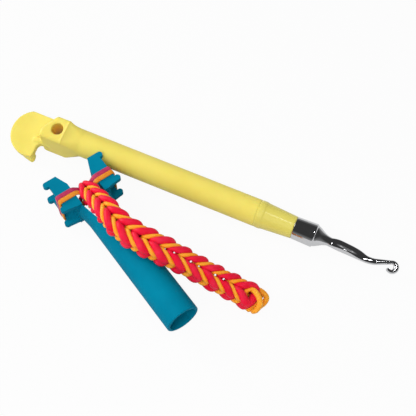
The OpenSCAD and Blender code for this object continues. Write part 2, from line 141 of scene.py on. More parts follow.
# %% Route points
# Where the weave is pinched: shares of a prong's length and thickness
PINCH_UP = 0.392
PINCH_OUT = 0.232
REST_GAP = 0.4
PINCH_Y = PRONG_Y + PINCH_UP * PRONG_LEN
PINCH_Z = PINCH_OUT * PRONG_T
OVER_Z = TUBE_R + WEAVE_T / 2 + BAND_GAP
LOW_Z = TABLE_Z + WEAVE_T / 2 + REST_GAP
ROUTE = np.array([
    [0, PINCH_Y + 13, PINCH_Z - 4.2],
    [0, PINCH_Y + 6.5, PINCH_Z - 2.1],
    [0, PINCH_Y, PINCH_Z],
    [0, PINCH_Y - 6.5, PINCH_Z + 2.9],
    [0, PINCH_Y - 13, OVER_Z - 0.9],
    [-0.2, PINCH_Y - 19, OVER_Z + 0.5],
    [0.6, PINCH_Y - 25, OVER_Z + 0.7],
    [3, PINCH_Y - 31.5, OVER_Z + 0.5],
    [6.2, PINCH_Y - 37.5, OVER_Z - 0.4],
    [9.6, PINCH_Y - 43, OVER_Z - 2.4],
    [13.2, PINCH_Y - 48.5, LOW_Z + 7.6],
    [16.8, PINCH_Y - 54, LOW_Z + 4.8],
    [20.4, PINCH_Y - 59.5, LOW_Z + 2.3],
    [23.6, PINCH_Y - 65.5, LOW_Z + 0.6],
    [25.6, PINCH_Y - 72, LOW_Z],
    [27.2, PINCH_Y - 79, LOW_Z],
    [28.6, PINCH_Y - 86, LOW_Z],
    [30, PINCH_Y - 93, LOW_Z],
    [31.4, PINCH_Y - 100, LOW_Z],
])
print(f"route points: {len(ROUTE)}, over the tube at {OVER_Z:.2f} mm and down to {LOW_Z:.2f} mm")

# %% Places and directions along the route
ROUTE_STEPS = 40
UP = np.array([0.0, 0.0, 1.0])


def catmull_rom(points, steps):
    """Between b and c of each run a, b, c, d: half of 2b + (c-a)t + (2a-5b+4c-d)t^2 + (3b-a-3c+d)t^3."""
    a, b, c, d = (points[k : len(points) - 3 + k, None, :] for k in range(4))
    t = np.linspace(0, 1, steps, endpoint=False)[None, :, None]
    curve = 2 * b + (c - a) * t + (2 * a - 5 * b + 4 * c - d) * t**2 + (3 * b - a - 3 * c + d) * t**3
    return curve.reshape(-1, points.shape[1]) / 2


def lengths_along(path):
    """How far along the path each of its places lies: the sum of the steps before it."""
    return np.concatenate([[0], np.cumsum(np.linalg.norm(np.diff(path, axis=0), axis=1))])


def at_lengths(want, lengths, path):
    """The path's places at the wanted lengths, with straight lines between the known ones."""
    return np.stack([np.interp(want, lengths, axis) for axis in path.T], axis=-1)


route_points = catmull_rom(ROUTE, ROUTE_STEPS)
route_lengths = lengths_along(route_points)


def route_at(s):
    """Place on the route after s millimetres, read from the table of lengths."""
    return at_lengths(s, route_lengths, route_points)


def route_frame(s):
    """Directions along the route (from 1 mm before to 1 mm after), sideways (along x up) and
    out of the strip (side x along)."""
    along = unit(route_at(s + 1) - route_at(s - 1))
    side = unit(np.cross(along, UP))
    return along, side, np.cross(side, along)


# The curve starts at the second point, so this is where it reaches the pinch
RED_S = float(np.linalg.norm(ROUTE[2] - ROUTE[1]))
print(f"route {route_lengths[-1]:.1f} mm long, pinched at {RED_S:.1f} mm")

# %% [markdown]
# ## One link of the fishtail
#
# In a fishtail weave each band is folded double round the two bands below it. Seen along
# the strip, the strand goes up one side, crosses the middle and comes down the other, so
# a short sum of sines and cosines describes it: odd multiples of the angle sideways and
# out of the strip, and one full wave along it for each half turn. A hand pulls some links
# tighter than others, so their width varies along the strip.

# %% Link curve
# Multiple of the angle, and how much of it there is in pitches
LINK_WIDE = {1: 0.62, 3: 0.60, 5: 0.25}
LINK_THICK = {1: 0.65, 3: -0.435}
LINK_RISE = 2.525
RINGS = 96
SIDES = 16
# Share of the full width at some of the links
TAUT_LINKS = [1, 5, 9, 12, 15, 20, 24]
TAUT_WIDTH = [0.8, 0.88, 0.95, 0.95, 0.86, 0.86, 0.95]


def link_shape(t):
    """In pitches: -rise (1 - cos 2t) / 2 along the strip, -sum(a sin(nt)) sideways and
    sum(c cos(nt)) out of it."""
    along = -LINK_RISE * (1 - np.cos(2 * t)) / 2
    sideways = -sum(a * np.sin(n * t) for n, a in LINK_WIDE.items())
    outwards = sum(c * np.cos(n * t) for n, c in LINK_THICK.items())
    return PITCH * np.stack([along, sideways, outwards], axis=-1)


def on_strip(k, shape):
    """The places of link k's shape, the route at s plus its offset, and that offset by itself."""
    s = RED_S + PITCH * (k + 1) + shape[:, 0]
    _, side, out = route_frame(s)
    beside = shape[:, 1:2] * side + shape[:, 2:3] * out
    return route_at(s) + beside, beside


around = np.linspace(0, 2 * np.pi, RINGS, endpoint=False)
taut = np.interp(np.arange(1, LINKS + 1), TAUT_LINKS, TAUT_WIDTH)
links = [on_strip(k, link_shape(around) * [1, taut[k - 1], 1]) for k in range(1, LINKS)]
print(f"{len(links)} links of {RINGS} rings")

# %% [markdown]
# ## The last link
#
# Nothing holds the folds of the last band, so one of them swings across the end of the
# strip in a wide bow and the other shrinks back, with a small eye left open between them.
# No neat formula describes that. The woven part comes from the link's own shape, and the
# free part is given as a few places that a closed Catmull-Rom curve joins.

# %% Last link
FOLD_BACK = 0.5 * PITCH
FREE_STEPS = 12
# Degrees round the link over which its neighbour still holds it
HELD = np.arange(75, 286, 15)
# Millimetres along the strip from its end, beside it and out of it
FREE_PART = np.array([
    [-5.6, -1.8, 2.2],
    [-3.1, -1.1, 3.0],
    [-1.0, 0.0, 2.9],
    [0.1, 1.2, 1.9],
    [0.0, 2.9, 0.6],
    [-0.9, 3.3, -0.6],
    [-0.5, 1.4, -1.7],
    [0.2, -1.0, -1.7],
    [0.3, -2.7, -1.2],
    [-0.4, -3.7, -0.8],
    [-2.1, -3.8, 0.0],
    [-4.0, -3.3, 0.8],
    [-5.9, -2.2, 1.1],
])


def even(path, count):
    """The closed path again, at count places that are equally far apart along it."""
    closed = np.vstack([path, path[:1]])
    lengths = lengths_along(closed)
    return at_lengths(np.linspace(0, lengths[-1], count, endpoint=False), lengths, closed)


held = np.radians(HELD)
woven = link_shape(held)
# The fold is pulled back where -cos t is near 1; the high power keeps that to the fold
woven[:, 0] -= FOLD_BACK * np.clip(-np.cos(held), 0, 1) ** 8
loop = np.vstack([woven, FREE_PART])
loop = catmull_rom(np.vstack([loop[-1:], loop, loop[:2]]), FREE_STEPS)
links.append(on_strip(LINKS, even(loop, RINGS)))
print(f"last link: {len(FREE_PART)} places by hand, {lengths_along(loop)[-1]:.0f} mm round")

# %% [markdown]
# ## The route of a band on the prongs
#
# Two bands are still stretched round the prongs and drawn together in the middle, where
# the bracelet hangs from them. Each runs over a front wall, round the open outer side,
# and back under. The path is drawn in the X-Z plane from straight runs and small arcs,
# and its Y place slides from the pinch to the prong on the way. A little blurring takes
# the kinks out, as the pull does in real rubber.

# %% Path of a band round both prongs
FULL_R = {"red": 1.7, "orange": 1.08, "peg": 0.9}
PEG_FLAT = 0.36
PEG_GAP = 0.06
PEG_RINGS = 220
PEG_BLURS = 3
PINCH_HALF = 0.62 * BAND_D
PINCH_SIDE = 0.9
RED_RIDES_UP = 0.7
PEG_PITCH = 1.75
# Degrees at which a band meets a prong's front edge and leaves its back edge
FRONT_MEET = 140
BACK_LEAVE = -160
ARC_STEPS = 8


def arc(x, z, r, start, end):
    """Points (x + r cos a, z + r sin a) for a from start to end, in degrees."""
    a = np.radians(np.linspace(start, end, ARC_STEPS))
    return np.stack([x + r * np.cos(a), z + r * np.sin(a)], axis=-1)


def blurred(values, axis):
    """On a closed row, half of each value and a quarter of each of its two neighbours."""
    return (np.roll(values, 1, axis=axis) + 2 * values + np.roll(values, -1, axis=axis)) / 4


def peg_centres(s, peg_y):
    """Half a loop of straights and arcs, mirrored in X, and the Y direction for each place on it.
    Its own y goes from the pinch's to the prong's with the climb up the wall."""
    mid = route_at(s)
    off = FULL_R["peg"] * PEG_FLAT + PEG_GAP
    top = PRONG_T / 2
    edge = GAP_HALF + PRONG_W
    front = mid[2] + PINCH_HALF
    back = mid[2] - PINCH_HALF
    half = np.vstack([
        [[0.0, front], [PINCH_SIDE, front]],
        arc(GAP_HALF, top, off, FRONT_MEET, 90),
        arc(edge, top, off, 90, 0),
        arc(edge, -top, off, 0, -90),
        arc(GAP_HALF, -top, off, -90, BACK_LEAVE),
        [[PINCH_SIDE, back], [0.0, back]],
    ])
    flat = even(np.vstack([half, half[::-1] * [-1, 1]]), PEG_RINGS)
    climb = np.where(flat[:, 1] > mid[2], top - mid[2], top + mid[2])
    share = np.clip((np.abs(flat[:, 1] - mid[2]) - PINCH_HALF) / (climb - PINCH_HALF), 0, 1)
    share = np.where(np.abs(flat[:, 0]) > GAP_HALF, 1, share)
    y = mid[1] + (peg_y - mid[1]) * share
    path = np.stack([flat[:, 0], y, flat[:, 1]], axis=-1)
    for _ in range(PEG_BLURS):
        path = blurred(path, axis=0)
    return path, np.tile([0.0, 1.0, 0.0], (len(path), 1))


red_peg_y = PINCH_Y + RED_RIDES_UP
pegs = [peg_centres(RED_S, red_peg_y), peg_centres(RED_S + PITCH, red_peg_y - PEG_PITCH)]
print("bands on the prongs:", [f"{lengths_along(path)[-1]:.0f} mm round" for path, _ in pegs])

# %% [markdown]
# ## Open eyes in the weave
#
# The strands of a fishtail don't close up everywhere, so a few small eyes stay open and
# the table shows through. A Boolean could cut them, but its rims would be sharp. Here an
# eye is a thin round passage that the rubber isn't allowed to swell into, so its rim is
# as soft as the rest. The passage follows the line past each link that has the most room.

# %% Open eyes
# Place that the picture is taken from, which the eyes are open to
VIEWPOINT = np.array([-53.2, -86.8, 248.1])
# Number of the link, and the radius of its eye
EYE_R = {10: 0.45, 13: 0.3, 15: 0.4, 17: 0.5, 18: 0.35, 20: 0.45, 21: 0.5}
EYE_BACK = 0.25 * PITCH
# Millimetres along the strip and across it at which a line of sight is tried
EYE_ALONG = np.linspace(-1.5, 1.5, 25)
EYE_ACROSS = np.linspace(-2, 2, 33)
EYE_NEIGHBOURS = 5


def off_line(offset, way):
    """Distance from a line: the length of the offset less its part along the line's direction."""
    ahead = np.sum(offset * way, axis=-1, keepdims=True)
    return np.linalg.norm(offset - ahead * way, axis=-1)


def open_line(k):
    """Of many lines of sight past link k's middle, the one furthest from every strand near it:
    its place, direction and clearance."""
    along, across = np.meshgrid(EYE_ALONG, EYE_ACROSS, indexing="ij")
    s = RED_S + PITCH * k - EYE_BACK + along.ravel()
    places = route_at(s) + across.ravel()[:, None] * route_frame(s)[1]
    ways = unit(places - VIEWPOINT)
    near = links[max(k - EYE_NEIGHBOURS, 0) : k + EYE_NEIGHBOURS]
    strands = np.vstack([path for path, _ in near])
    clear = off_line(strands[None] - places[:, None], ways[:, None]).min(axis=1)
    best = np.argmax(clear)
    return places[best], ways[best], clear[best]


eyes = [open_line(k) for k in EYE_R]
eye_at = np.array([place for place, _, _ in eyes])
eye_way = np.array([way for _, way, _ in eyes])
eye_r = np.array(list(EYE_R.values()))
print("eyes' clearances:", np.round([clear for _, _, clear in eyes], 2))

# %% [markdown]
# ## Swelling the strands
#
# Rubber bands press on each other, so a strand isn't a neat round tube: it is full where
# it is free and flat where a neighbour pushes back. A soft-body simulation could find
# that shape, but slowly. Here each ray of each ring grows from a thin core until it meets
# the part of the space that is nearer to another strand, the loom or the table. The
# meeting place is found by halving an interval, for all the rays of a band at once.

# %% Where rubber may go
TUBE_GAP = 0.08
ARM_GAP = 0.1
TABLE_GAP = 0.06
# The tube grows by this much from this place to the prongs
FLARE = 0.6
FLARE_Y = 44.0


def free_of_loom(p):
    """True where a point is outside the tube or between the arms, and above the table."""
    x, y, z = p[..., 0], p[..., 1], p[..., 2]
    tube = np.interp(y, [FLARE_Y, PRONG_Y], [TUBE_R, TUBE_R + FLARE])
    outside = np.hypot(x, z) > tube + TUBE_GAP
    root = LOOM_LEN - SLOT_LEN + CROTCH_R
    half = np.interp(y, [root, PRONG_Y], [CROTCH_R, GAP_HALF])
    in_slot = (y > root) & (np.abs(x) < half - ARM_GAP)
    return (outside | in_slot) & (z > TABLE_Z + TABLE_GAP)


def free_of_eyes(p):
    """True where a point is outside the radius of every open eye."""
    return np.all(off_line(p[..., None, :] - eye_at, eye_way) > eye_r, axis=-1)


free_share = free_of_loom(links[0][0]).mean()
print(f"first link: {free_share:.0%} of its middle line is free of the loom")

# %% Swelling
CORE_R = 0.36
SKIN_GAP = 0.03
# Parts of one band closer than this along it don't press on each other
STRAND_GAP = 3.0
HALVINGS = 7
RING_BLURS = 2


def swollen(centres, beside, others, full_r, flat=1.0, power=2):
    """Ring points centre + r (cos a out + flat sin a over), with rays of a superellipse of that power.
    r is the largest at which no other strand, weighed by its fullness, is nearer than its own."""
    places = np.vstack([path for path, _ in others])
    weight = np.concatenate([np.full(len(path), full_r / full) for path, full in others])
    along = unit(np.roll(centres, -1, axis=0) - np.roll(centres, 1, axis=0))
    out = unit(beside - np.sum(beside * along, axis=1, keepdims=True) * along)
    over = np.cross(along, out)
    a = np.linspace(0, 2 * np.pi, SIDES, endpoint=False)[None, :, None]
    rays = np.cos(a) * out[:, None, :] + flat * np.sin(a) * over[:, None, :]
    rays = rays / (np.abs(np.cos(a)) ** power + np.abs(np.sin(a)) ** power) ** (1 / power)
    step = np.mean(np.linalg.norm(np.diff(centres, axis=0), axis=1))
    index = np.arange(len(centres))
    apart = np.abs(index[:, None] - index[None, :])
    apart = np.minimum(apart, len(centres) - apart) * step
    low = np.full(rays.shape[:2], CORE_R)
    high = np.full(rays.shape[:2], full_r)
    for _ in range(HALVINGS):
        r = (low + high) / 2
        p = centres[:, None, :] + r[..., None] * rays
        to_self = np.linalg.norm(p[:, :, None, :] - centres[None, None, :, :], axis=-1)
        to_self = np.where(apart[:, None, :] > STRAND_GAP, to_self, np.inf).min(axis=-1)
        to_other = np.linalg.norm(p[:, :, None, :] - places[None, None, :, :], axis=-1)
        to_other = (to_other * weight).min(axis=-1)
        fits = np.minimum(to_self, to_other) > r + SKIN_GAP
        fits &= free_of_loom(p) & free_of_eyes(p)
        low = np.where(fits, r, low)
        high = np.where(fits, high, r)
    soft = low
    for _ in range(RING_BLURS):
        soft = blurred(blurred(soft, axis=1), axis=0)
        soft = np.minimum(soft, low + SKIN_GAP)
    return centres[:, None, :] + soft[..., None] * rays


print(f"a strand grows from {CORE_R} mm to at most {max(FULL_R.values())} mm in {HALVINGS} halvings")

# %% [markdown]
# ## Weaving the bracelet
#
# Each band of the bracelet becomes its own object, as each is its own piece of rubber.
# A band can touch no more than the three before it and the three after it, so only their
# centre lines, and those of the bands on the prongs at the top, are asked about when it
# swells. Red bands are fuller than orange ones, and all are drawn thin at the prongs.

# %% Bracelet bands
NEIGHBOURS = 3
# Share of the full thickness at some of the bands
THIN_BANDS = [0, 9, 12, 15, 20, 24]
THIN_SHARE = [0.66, 1.0, 1.0, 0.86, 0.86, 0.95]
bands = {}
colours = ["orange" if k % 2 else "red" for k in range(LINKS)]
drawn_in = np.interp(np.arange(LINKS), THIN_BANDS, THIN_SHARE)
full = [FULL_R[colour] * part for colour, part in zip(colours, drawn_in)]
for k, (centres, beside) in enumerate(links):
    name = f"band_{k + 1:02d}"
    close_by = range(max(k - NEIGHBOURS, 0), min(k + NEIGHBOURS + 1, LINKS))
    near = [(links[n][0], full[n]) for n in close_by if n != k]
    if k < NEIGHBOURS:
        near += [(path, FULL_R["peg"]) for path, _ in pegs]
    points = swollen(centres, beside, near, full[k])
    bands[name] = grid_object(f"woven_{name}", points, loop=True)
    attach(bands[name], "bracelet")
    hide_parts(name)
print("bracelet:", len(bands), "bands")

# %% [markdown]
# ## Bands on the prongs
#
# These two are the same rubber, pulled so far that they lie on the plastic like ribbons.
# They could be plain swept strips, but then they would cut through the weave where it
# hangs from them. So they swell by the same rule, with rays that are short across the
# ribbon and a section nearer to a rectangle than to an ellipse.

# %% Stretched bands
RIBBON_POWER = 4
for k, (name, (path, beside)) in enumerate(zip(("peg_band_red", "peg_band_orange"), pegs)):
    near = [(links[n][0], full[n]) for n in range(NEIGHBOURS)] + [(pegs[1 - k][0], FULL_R["peg"])]
    points = swollen(path, beside, near, FULL_R["peg"], PEG_FLAT, RIBBON_POWER)
    bands[name] = grid_object(f"stretched_{name}", points, loop=True)
    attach(bands[name], "peg_bands")
    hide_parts(name)
print("with the prongs' bands:", len(bands))

# %% [markdown]
# ## How the tool lies
#
# The tool rests on its collar and on the tip of its claw, rolled a little, with its
# barrel against a lip of the loom. Its turn and roll are given, and those contacts give
# its pitch and its place, so its own axes can be worked out from the same sizes as the
# CAD's and used for every piece.

# %% Frame of the hook tool
BARREL_D = 9.8
COLLAR_D = 10.0
COLLAR_X = 25.9
CLAW_X = -59.0
CLAW_REACH = 12.9
CLAW_LOW = 4.6
TOOL_TURN = math.radians(-60)
TOOL_ROLL = math.radians(14)
TOOL_GAP = 0.1
LIP_OUT = 1.6
LIP_DOWN = 1.1
# From the lip's tip to the tool's zero along the barrel, and how far the lip goes under the barrel
LIP_TO_ZERO = 33.0
LIP_UNDER = 1.2
claw_depth = CLAW_REACH * math.sin(TOOL_ROLL) + CLAW_LOW * math.cos(TOOL_ROLL)
TOOL_PITCH = math.asin((claw_depth - COLLAR_D / 2) / (COLLAR_X - CLAW_X))
tool_along = np.array([math.cos(TOOL_TURN), math.sin(TOOL_TURN)])
tool_across = np.array([-math.sin(TOOL_TURN), math.cos(TOOL_TURN)])
lip_tip = np.array([GAP_HALF + PRONG_W + LIP_OUT, LOOM_LEN - LIP_DOWN])
tool_spot = lip_tip + LIP_TO_ZERO * tool_along + (BARREL_D / 2 - LIP_UNDER) * tool_across
tool_height = TABLE_Z + COLLAR_D / 2 + COLLAR_X * math.sin(TOOL_PITCH) + TOOL_GAP
TOOL_AT = np.array([*tool_spot, tool_height])
turned = Matrix.Rotation(TOOL_TURN, 3, "Z") @ Matrix.Rotation(TOOL_PITCH, 3, "Y")
TOOL_AXES = np.array(turned @ Matrix.Rotation(TOOL_ROLL, 3, "X"))
print("tool at", TOOL_AT.round(2), "pitch", round(math.degrees(TOOL_PITCH), 2))

# %% [markdown]
# ## Rigid mouldings
#
# The handle, nose cone and mini loom already have their true shape in the CAD, but with
# knife-sharp edges. A moulding has a small radius on every edge, and that radius is what
# catches the light. Each gets a copy of its CAD mesh with its loose triangles merged. The
# loom is made of plain walls, so a live Bevel rounds its edges. The handle and the nose
# cone flow from one form into the next, so a voxel remesh and a short smoothing melt
# their forms together.

# %% Copies of CAD nodes with soft edges
MERGE_MM = 0.002
FLAT_ANGLE = math.radians(0.5)
SMOOTH_ANGLE = math.radians(32)
EDGE_R = 0.3
MELT_ROUNDS = 8


def cad_copy(node, name, body):
    """The CAD node's mesh in a new object, merged, joined into flat faces and shaded smooth
    up to SMOOTH_ANGLE."""
    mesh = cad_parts[node].data.copy()
    mesh.name = name
    bm = bmesh.new()
    bm.from_mesh(mesh)
    bmesh.ops.remove_doubles(bm, verts=bm.verts, dist=MERGE_MM * MM)
    bmesh.ops.dissolve_limit(bm, angle_limit=FLAT_ANGLE, verts=bm.verts, edges=bm.edges)
    bm.to_mesh(mesh)
    bm.free()
    mesh.polygons.foreach_set("use_smooth", np.ones(len(mesh.polygons), dtype=bool))
    mesh.set_sharp_from_angle(angle=SMOOTH_ANGLE)
    mesh.materials.clear()
    obj = new_object(name, mesh)
    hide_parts(node)
    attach(obj, body)
    return obj


def melt(obj, voxel_mm):
    """A voxel remesh, then rounds of moving each vertex half the way to its neighbours' mean."""
    voxels = obj.modifiers.new("skin", "REMESH")
    voxels.mode = "VOXEL"
    voxels.voxel_size = voxel_mm * MM
    voxels.use_smooth_shade = True
    smooth = obj.modifiers.new("melt", "SMOOTH")
    smooth.factor = 0.5
    smooth.iterations = MELT_ROUNDS


loom = cad_copy("mini_loom", "teal_mini_loom", "mini_loom")
bevel = loom.modifiers.new("moulded edge", "BEVEL")
bevel.width = EDGE_R * MM
bevel.segments = 2
bevel.limit_method = "ANGLE"
bevel.angle_limit = SMOOTH_ANGLE
bevel.harden_normals = True
handle = cad_copy("handle", "yellow_handle", "hook_tool")
melt(handle, voxel_mm=0.25)
nose = cad_copy("nose_cone", "yellow_nose_cone", "hook_tool")
melt(nose, voxel_mm=0.2)
print("mouldings:", loom.name, handle.name, nose.name)

# %% [markdown]
# ## Collar
#
# The collar sits so tight on the barrel that its seam hardly shows. Sculpting could blend
# the two, but they are separate mouldings. So the collar is drawn in a little, and its
# back face laps over the barrel's end. Both are moves of a few vertices, and they are
# easy once the vertices are turned into the tool's own frame, with X along the barrel.

# %% Collar pushed in the tool's own frame
COLLAR_LAP = 0.9
COLLAR_DRAW = 0.99
SAME_PLACE = 0.02


def tool_spots(obj):
    """The object's vertices in millimetres, turned back into the tool's frame."""
    spots = np.empty(len(obj.data.vertices) * 3)
    obj.data.vertices.foreach_get("co", spots)
    return (spots.reshape(-1, 3) / MM - TOOL_AT) @ TOOL_AXES


def put_spots(obj, spots):
    """The reverse: places in the tool's frame back to the object's vertices."""
    obj.data.vertices.foreach_set("co", ((TOOL_AT + spots @ TOOL_AXES.T) * MM).ravel())


spots = tool_spots(nose)
on_collar = np.hypot(spots[:, 1], spots[:, 2]) > BARREL_D / 2
spots[on_collar, 1:] *= COLLAR_DRAW
back_face = np.abs(spots[:, 0] - COLLAR_X) < SAME_PLACE
spots[back_face, 0] -= COLLAR_LAP
put_spots(nose, spots)
print("collar vertices:", int(on_collar.sum()), "on its back face:", int(back_face.sum()))

# %% [markdown]
# ## Crest and neck
#
# The boss at the handle's head ends in a fine raised crest, and the neck behind it falls
# away in a hollow curve. Such small forms could be sculpted, but two short formulas are
# repeatable. The handle's modifiers are worked into its mesh first, and the fine skin of
# vertices that they leave is then moved.

# %% Crest and neck
BARREL_LEN = 75.2
BOSS_X = COLLAR_X - BARREL_LEN
BOSS_TOP = 4.5
NECK_LEN = 6.5
NECK_R = 5.0
NECK_DIP = 0.5
CREST_H = 0.25
CREST_W = 0.3
skin = bpy.data.meshes.new_from_object(handle.evaluated_get(bpy.context.evaluated_depsgraph_get()))
skin.name = handle.name
handle.modifiers.clear()
handle.data = skin
spots = tool_spots(handle)
x, y, z = spots.T
# A dip of 6.75 u (1 - u)^2, which is 1 at its deepest, along the neck's upper and far sides
u = np.clip((x - BOSS_X) / NECK_LEN, 0, 1)
dip = NECK_DIP * 6.75 * u * (1 - u) ** 2 * np.clip((y + z) / NECK_R, 0, 1)
# A bell-shaped crest of exp(-(distance / width)^2) on the boss's top
crest = CREST_H * np.exp(-(((x - BOSS_X) / CREST_W) ** 2)) * np.clip(z - BOSS_TOP, 0, 1)
spots[:, 1:] *= (1 - dip / np.maximum(np.hypot(y, z), 1))[:, None]
spots[:, 2] += crest
put_spots(handle, spots)
print("handle vertices:", len(spots), "on the crest:", int((crest > CREST_H / 2).sum()))

# %% [markdown]
# ## The metal hook
#
# The shank is one piece of metal that is round in the ferrule, pinched flat for the
# blade, hollowed for the thumb and bent to a hook. A blacksmith would think of it as a
# row of cross-sections, so it is drawn that way: each row gives the place, half width,
# half thickness and depth of the hollow, and rings of points follow from them. Chrome
# shows every facet, so the rows are much closer here than in the CAD.

# %% Rows of the ferrule and its sweep
FERRULE_X = 39.5
FERRULE_LEN = 7.8
FERRULE_D = 8.4
FERRULE_ROWS = 20
CONE_TIP_D = 8.0
TANG_D = 4.0
TANG_LEN = 17.0
BLADE_W = 3.8
BLADE_T = 2.8
SWEEP_LEN = 5.4
SWEEP_ROWS = 24
SWEEP_EASE = 0.8
WAIST_W = 0.42 * BLADE_W
WAIST_T = 0.52 * BLADE_T
SHOULDER_X = FERRULE_X + FERRULE_LEN
SHOULDER_R = FERRULE_D / 2
SHOULDER_STEP = 0.45
# The plain taper starts and ends this far inside the ferrule's ends
TAPER_START = 0.4
TAPER_END = 0.5
# Millimetres on from the ferrule's start, and in from its radius
FERRULE_EDGE = np.array([[0, 0.1], [0.12, 0]])
# Millimetres back from the shoulder, and in from its radius
SHOULDER_EDGE = np.array([[0.32, 0.04], [0.17, 0.14], [0.05, 0.3]])


def round_rows(x, r):
    """Rows of plain circles of radius r at places x on the tool's axis."""
    zero = np.zeros(len(x))
    return np.stack([x, zero, r, r, zero], axis=-1)


def sweep_rows():
    """Half width and thickness fall from the shoulder's to the waist's along 1 - (3u^2 - 2u^3),
    with u the place to the power SWEEP_EASE."""
    place = np.linspace(0, 1, SWEEP_ROWS, endpoint=False)
    u = place**SWEEP_EASE
    fall = 1 - u * u * (3 - 2 * u)
    root = SHOULDER_R - SHOULDER_STEP
    wide = WAIST_W + (root - WAIST_W) * fall
    thick = WAIST_T + (root - WAIST_T) * fall
    zero = np.zeros(SWEEP_ROWS)
    return np.stack([SHOULDER_X + SWEEP_LEN * place, zero, wide, thick, zero], axis=-1)


cone_tip_r = CONE_TIP_D / 2
taper_x = np.linspace(FERRULE_X + TAPER_START, SHOULDER_X - TAPER_END, FERRULE_ROWS)
ferrule = np.vstack([
    round_rows([FERRULE_X - TANG_LEN, FERRULE_X], [TANG_D / 2, TANG_D / 2]),
    round_rows(FERRULE_X + FERRULE_EDGE[:, 0], cone_tip_r - FERRULE_EDGE[:, 1]),
    round_rows(taper_x, np.linspace(cone_tip_r, SHOULDER_R, FERRULE_ROWS)),
    round_rows(SHOULDER_X - SHOULDER_EDGE[:, 0], SHOULDER_R - SHOULDER_EDGE[:, 1]),
    sweep_rows(),
])
print("ferrule rows:", len(ferrule))

# %% Rows of the blade and the bend
BLADE_LEN = 16.6
BLADE_X = SHOULDER_X + SWEEP_LEN
BLADE_STEPS = 10
HOLLOW = 0.9
# Share of the blade's length, offset, and shares of its width, thickness and hollow
BLADE_FORM = np.array([
    [-0.16, 0, 0.96, 1.12, 0],
    [0, -0.1, 0.84, 1.04, 0.1],
    [0.17, 0, 0.97, 1, 0.7],
    [0.33, -0.1, 1, 0.96, 1],
    [0.48, -0.26, 0.96, 0.9, 0.9],
    [0.64, -0.58, 0.86, 0.82, 0.5],
    [0.79, -0.98, 0.69, 0.75, 0.15],
    [0.9, -0.96, 0.63, 0.71, 0],
    [1, -0.67, 0.58, 0.68, 0],
    [1.1, -0.2, 0.5, 0.62, 0],
])
WIRE_D = 1.9
WIRE_THIN = 0.72
LIFT_ROWS = 16
BEND_R = 2.35
BEND_AHEAD = 5.95
BEND_BESIDE = 0.42
BEND_START = math.radians(118)
BEND_END = math.radians(-128)
BEND_FULLEST = math.radians(5)
BEND_ROWS = 60
TIP_SHARE = 0.9
TIP_TAPER = 1.6
TIP_ANGLES = np.radians(np.linspace(12, 84, 7))


def bend_rows(neck):
    """An outer circle of radius BEND_R. The half width is greatest where cos(a - BEND_FULLEST) is,
    thins a little to the tip, and ends there in a quarter circle."""
    part = np.linspace(0, 1, BEND_ROWS)
    a = BEND_START + (BEND_END - BEND_START) * part
    thick = WIRE_D / 2
    thin = WIRE_THIN * thick
    taper = np.minimum(1, TIP_TAPER * (1 - part) + TIP_SHARE)
    half = taper * (thin + (thick - thin) * np.clip(np.cos(a - BEND_FULLEST), 0, 1))
    x = neck[0] + BEND_AHEAD + (BEND_R - half) * np.cos(a)
    y = neck[1] + BEND_BESIDE + (BEND_R - half) * np.sin(a)
    rows = np.stack([x, y, half, np.minimum(thick, 2 * half), np.zeros(BEND_ROWS)], axis=-1)
    onward = np.array([math.sin(BEND_END), -math.cos(BEND_END)])
    tip = np.tile(rows[-1], (len(TIP_ANGLES), 1))
    tip[:, :2] += np.sin(TIP_ANGLES)[:, None] * half[-1] * onward
    tip[:, 2:4] *= np.cos(TIP_ANGLES)[:, None]
    return np.vstack([rows, tip])


stations = BLADE_FORM * [BLADE_LEN, 1, BLADE_W / 2, BLADE_T / 2, HOLLOW] + [BLADE_X, 0, 0, 0, 0]
blade = catmull_rom(stations, BLADE_STEPS)
neck = stations[-2]
bend = bend_rows(neck)
lift = neck + (bend[0] - neck) * np.linspace(0, 1, LIFT_ROWS, endpoint=False)[:, None]
rows = np.vstack([ferrule, blade, lift, bend])
print("hook rows:", len(rows))

# %% [markdown]
# ## The hook's surface
#
# Each row becomes a ring at right angles to the path. The section is an ellipse on the
# wire and squarer on the blade, whose top is hollowed and whose flat is turned a little
# about the axis, as it sits in a hand. A chain of lofts and cuts could do that in CAD, but
# on a grid it is one formula, and the reflections run through without a break.

# %% Hook surface
HOOK_SIDES = 56
BLADE_TWIST = math.radians(-32)


def flat_rings(rows, straight):
    """Rings |across / width|^n + |up / thickness|^n = 1, less a dip of hollow times max(0, sin a)^4.
    n is 2, and 4 where the hollow is full, where the ring is also turned by BLADE_TWIST.
    The first straight rows all face along the tool's axis."""
    path = rows[:, :2]
    run = np.gradient(path, axis=0)
    run[:straight] = [1, 0]
    run = unit(run)
    sideways = np.stack([-run[:, 1], run[:, 0], np.zeros(len(rows))], axis=-1)
    a = np.linspace(0, 2 * np.pi, HOOK_SIDES, endpoint=False)[None, :]
    dished = rows[:, 4:5] / HOLLOW
    power = 2 + 2 * dished
    swell = (np.abs(np.cos(a)) ** power + np.abs(np.sin(a)) ** power) ** (-1 / power)
    wide = rows[:, 2:3] * swell * np.cos(a)
    high = rows[:, 3:4] * swell * np.sin(a) - rows[:, 4:5] * np.clip(np.sin(a), 0, 1) ** 4
    twist = BLADE_TWIST * dished
    beside = wide * np.cos(twist) - high * np.sin(twist)
    height = wide * np.sin(twist) + high * np.cos(twist)
    middle = np.repeat(path[:, None, :], HOOK_SIDES, axis=1)
    points = np.concatenate([middle, height[..., None]], axis=-1)
    return points + beside[..., None] * sideways[:, None, :]


hook = grid_object("chrome_hook", TOOL_AT + flat_rings(rows, len(ferrule)) @ TOOL_AXES.T, loop=False)
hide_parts("metal_hook")
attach(hook, "hook_tool")
print("hook faces:", len(hook.data.polygons))

